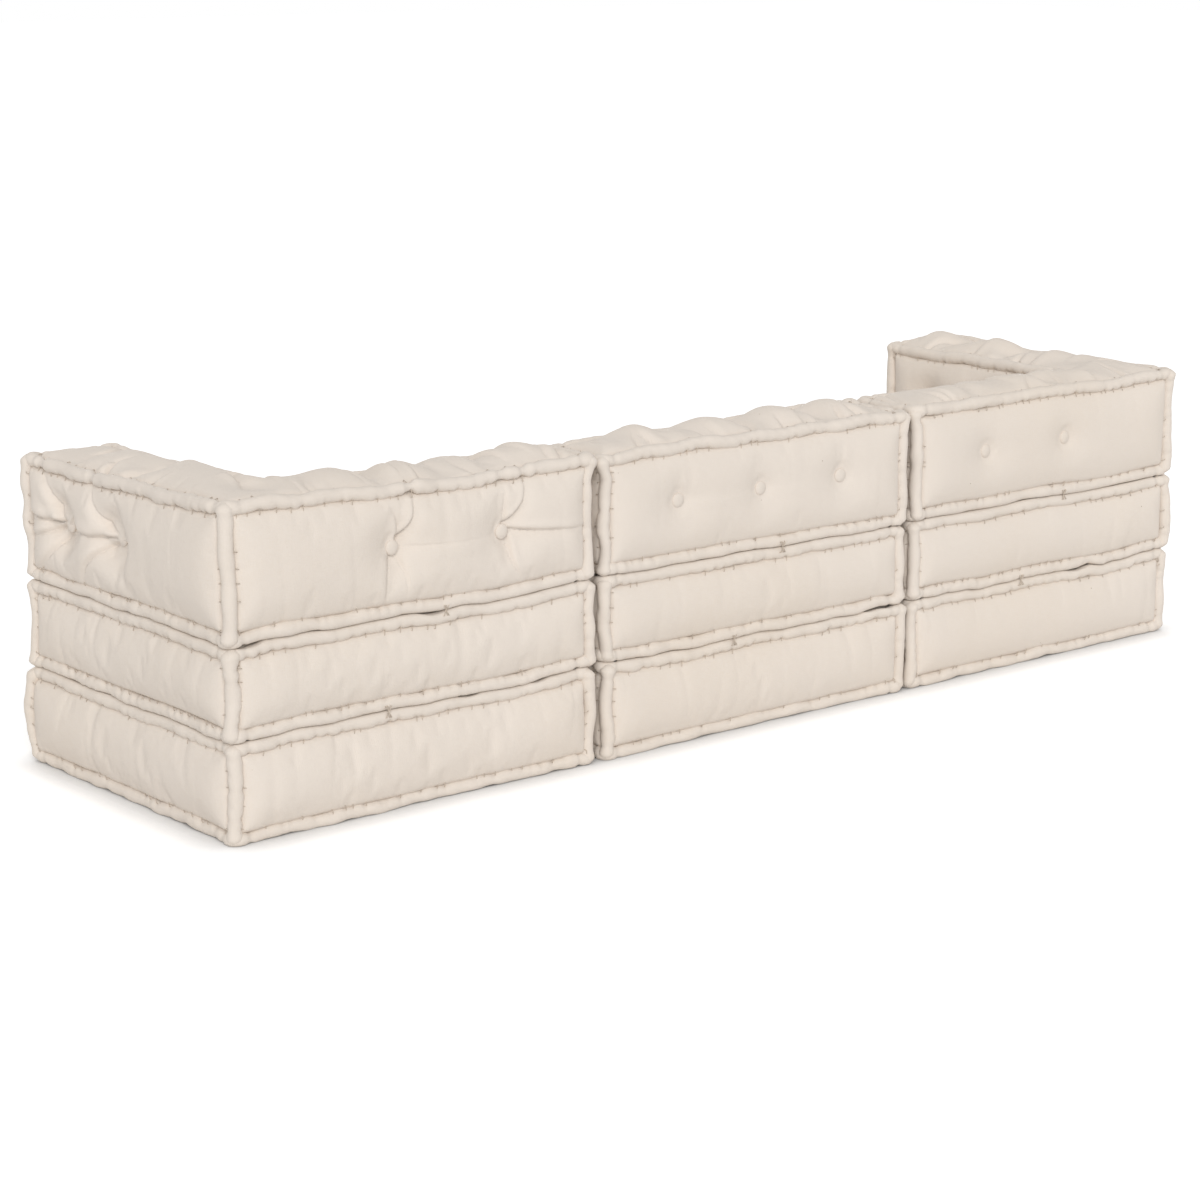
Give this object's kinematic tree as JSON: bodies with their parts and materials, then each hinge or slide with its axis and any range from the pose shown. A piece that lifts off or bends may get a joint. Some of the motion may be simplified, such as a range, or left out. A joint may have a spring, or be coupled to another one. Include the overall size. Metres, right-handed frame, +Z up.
{
  "type": "modular sofa",
  "caption": "Low modular floor sofa: free-standing modules of stacked, button-tufted cotton pads with rolled edges; on the end modules the back pad turns the corner into an arm.",
  "frame": {"origin": "on the floor, under the middle of the whole sofa", "axes": "+X along the row of modules, to the right seen from the front; +Y towards the back, so a sitter faces -Y; +Z up"},
  "size_m": [2.1356, 0.6116, 0.528],
  "materials": {
    "canvas": "matt undyed plain-woven cotton canvas",
    "rolled_edge": "matt cotton canvas, stuffed and hand-stitched into a roll",
    "stuffing": "felted cotton filling",
    "button": "canvas-covered button on cotton twine",
    "thread": "waxed cotton thread"
  },
  "bodies": {
    "left_module": {"left_arm_fill": "stuffing", "left_back_cover": "canvas", "left_back_edge_roll": "rolled_edge", "left_back_fill": "stuffing", "left_back_tie_1": "button", "left_back_tie_2": "button", "left_back_tie_3": "button", "left_back_tie_4": "button", "left_base_cover": "canvas", "left_base_edge_roll": "rolled_edge", "left_base_fill": "stuffing", "left_base_tack": "thread", "left_seat_cover": "canvas", "left_seat_edge_roll": "rolled_edge", "left_seat_fill": "stuffing", "left_seat_tack": "thread", "left_seat_tie_1": "button", "left_seat_tie_2": "button", "left_seat_tie_3": "button", "left_seat_tie_4": "button"},
    "middle_module": {"middle_back_cover": "canvas", "middle_back_edge_roll": "rolled_edge", "middle_back_fill": "stuffing", "middle_back_tie_1": "button", "middle_back_tie_2": "button", "middle_back_tie_3": "button", "middle_base_cover": "canvas", "middle_base_edge_roll": "rolled_edge", "middle_base_fill": "stuffing", "middle_base_tack": "thread", "middle_seat_cover": "canvas", "middle_seat_edge_roll": "rolled_edge", "middle_seat_fill": "stuffing", "middle_seat_tack": "thread", "middle_seat_tie_1": "button", "middle_seat_tie_2": "button", "middle_seat_tie_3": "button", "middle_seat_tie_4": "button", "middle_seat_tie_5": "button", "middle_seat_tie_6": "button"},
    "right_module": {"right_arm_fill": "stuffing", "right_back_cover": "canvas", "right_back_edge_roll": "rolled_edge", "right_back_fill": "stuffing", "right_back_tie_1": "button", "right_back_tie_2": "button", "right_back_tie_3": "button", "right_back_tie_4": "button", "right_base_cover": "canvas", "right_base_edge_roll": "rolled_edge", "right_base_fill": "stuffing", "right_base_tack": "thread", "right_seat_cover": "canvas", "right_seat_edge_roll": "rolled_edge", "right_seat_fill": "stuffing", "right_seat_tack": "thread", "right_seat_tie_1": "button", "right_seat_tie_2": "button", "right_seat_tie_3": "button", "right_seat_tie_4": "button"}
  },
  "joints": [
    {"name": "left_module_slide", "type": "slide", "parent": "middle_module", "child": "left_module", "axis": [-1, 0, 0], "range_m": [0, 0.4]},
    {"name": "right_module_slide", "type": "slide", "parent": "middle_module", "child": "right_module", "axis": [1, 0, 0], "range_m": [0, 0.4]}
  ]
}
